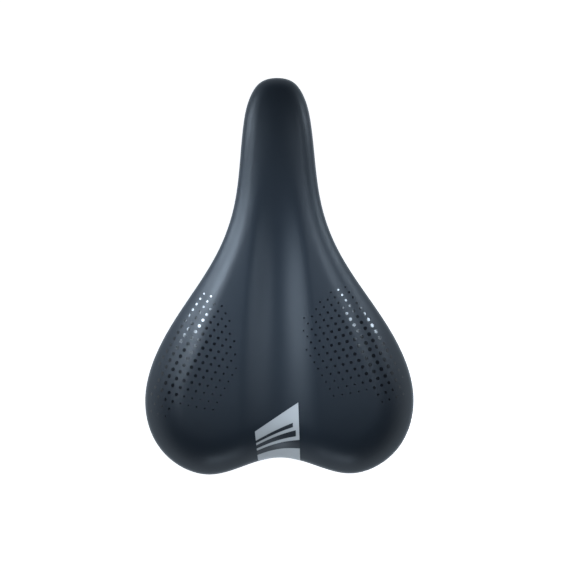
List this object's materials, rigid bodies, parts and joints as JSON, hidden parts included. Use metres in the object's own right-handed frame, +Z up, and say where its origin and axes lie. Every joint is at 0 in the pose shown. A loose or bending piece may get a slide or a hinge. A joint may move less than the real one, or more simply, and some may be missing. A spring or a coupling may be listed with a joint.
{
  "type": "bicycle saddle",
  "caption": "Padded bicycle saddle with a wide heart-shaped rear, relief channel, twin round rails and elastomer springs under the back.",
  "frame": {"origin": "middle of the seatpost clamp zone, half way between the two rails, at the height of their axes", "axes": "+X towards the nose, +Y to the rider's left, +Z up"},
  "size_m": [0.2621, 0.178, 0.0721],
  "materials": {
    "cover": "satin navy-black synthetic leather",
    "foam": "moulded open-cell foam",
    "gel": "soft gel",
    "shell": "moulded, fine texture",
    "staple": "zinc plated wire",
    "rail": "satin steel",
    "nylon": "glass-filled nylon",
    "zinc": "zinc plated",
    "cup": "black coated steel",
    "elastomer": "matt elastomer"
  },
  "bodies": {
    "undercarriage": {"rail_frame": "rail", "rear_bridge": "nylon", "rail_pins": "zinc", "lower_cup_left": "cup", "lower_cup_right": "cup", "elastomer_left": "elastomer", "elastomer_right": "elastomer"},
    "seat": {"cover": "cover", "foam_pad": "foam", "gel_pad_left": "gel", "gel_pad_right": "gel", "base_shell": "shell", "cover_staples": "staple", "spring_nuts": "zinc", "nose_nuts": "zinc", "nose_socket": "nylon", "nose_keeper": "nylon", "nose_screws": "zinc", "spring_bolt_left": "zinc", "spring_bolt_right": "zinc", "bolt_washer_left": "zinc", "bolt_washer_right": "zinc", "rebound_pad_left": "elastomer", "rebound_pad_right": "elastomer", "upper_cup_left": "cup", "upper_cup_right": "cup"}
  },
  "joints": [
    {"name": "rear_suspension", "type": "hinge", "parent": "undercarriage", "child": "seat", "pos_m": [0.104, 0, 0.022], "axis": [0, -1, 0], "range_deg": [0, 1.75], "stiffness_Nm_per_rad": 600, "deforming": ["elastomer_left", "elastomer_right"]}
  ]
}
